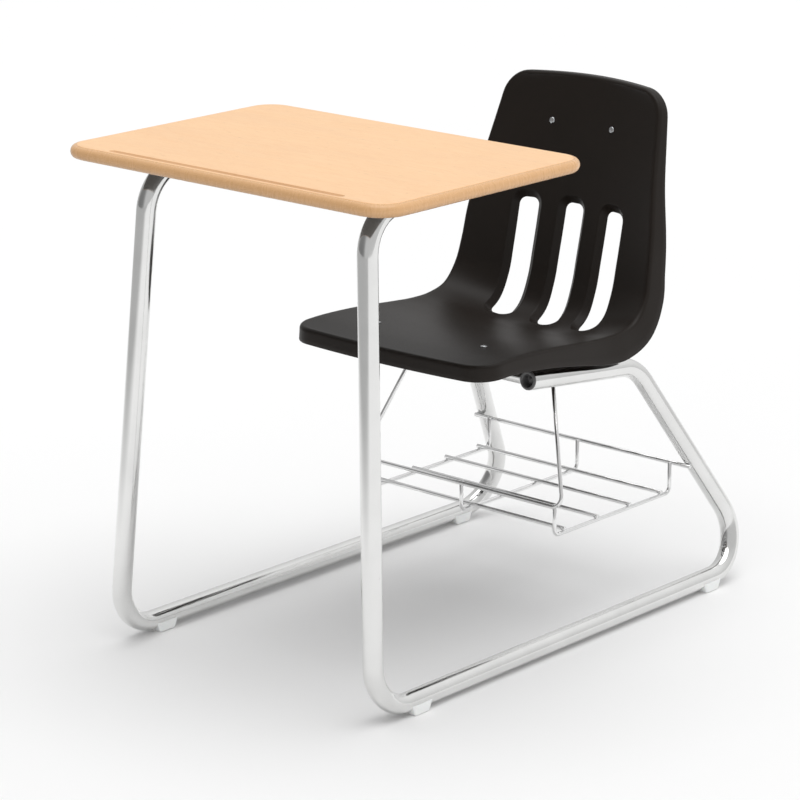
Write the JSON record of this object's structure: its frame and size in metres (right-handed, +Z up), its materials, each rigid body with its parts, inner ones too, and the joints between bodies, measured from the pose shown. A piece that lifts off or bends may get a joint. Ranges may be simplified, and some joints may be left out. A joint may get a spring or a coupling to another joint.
{
  "type": "student desk chair",
  "caption": "School desk and chair in one: slotted moulded seat, wood-grain writing top, wire book basket, on bent chrome tube sled runners.",
  "frame": {"origin": "on the floor under the middle of the bounding box", "axes": "+Z up, -Y towards the desktop's front edge (the far edge from the sitter), +Y towards the chair back, X across the seat"},
  "size_m": [0.598, 0.8657, 0.7415],
  "materials": {
    "maple_top": "satin pale maple laminate with fine grain",
    "chrome_tube": "bright polished plate",
    "chrome_plate": "bright plate",
    "chrome_wire": "bright polished plate",
    "fastener": "plain mill finish",
    "shell": "fine textured moulded black",
    "plug": "smooth dark moulding",
    "glide": "smooth white moulding"
  },
  "bodies": {
    "root": {"desktop": "maple_top", "side_frame_left": "chrome_tube", "seat_tube_plug_left": "plug", "desk_tube_plug_left": "plug", "side_frame_right": "chrome_tube", "seat_tube_plug_right": "plug", "desk_tube_plug_right": "plug", "front_seat_cross_tube": "chrome_tube", "rear_seat_cross_tube": "chrome_tube", "desk_cross_tube": "chrome_tube", "desk_tab_front_left": "chrome_plate", "desk_screw_front_left": "fastener", "desk_tab_rear_left": "chrome_plate", "desk_screw_rear_left": "fastener", "desk_tab_front_right": "chrome_plate", "desk_screw_front_right": "fastener", "desk_tab_rear_right": "chrome_plate", "desk_screw_rear_right": "fastener", "seat_shell": "shell", "front_seat_tab_left": "chrome_plate", "rear_seat_tab_left": "chrome_plate", "seat_rivet_left": "fastener", "seat_screw_left": "fastener", "back_washer_left": "fastener", "back_rivet_left": "fastener", "front_seat_tab_right": "chrome_plate", "rear_seat_tab_right": "chrome_plate", "seat_rivet_right": "fastener", "seat_screw_right": "fastener", "back_washer_right": "fastener", "back_rivet_right": "fastener", "basket_hanger_wire": "chrome_wire", "basket_rear_rail": "chrome_wire", "basket_u_wire_left": "chrome_wire", "basket_u_wire_middle": "chrome_wire", "basket_u_wire_right": "chrome_wire", "basket_floor_wire_1": "chrome_wire", "basket_floor_wire_2": "chrome_wire", "basket_floor_wire_3": "chrome_wire", "basket_floor_wire_4": "chrome_wire", "glide_front_left": "glide", "glide_rear_left": "glide", "glide_front_right": "glide", "glide_rear_right": "glide"}
  },
  "joints": []
}
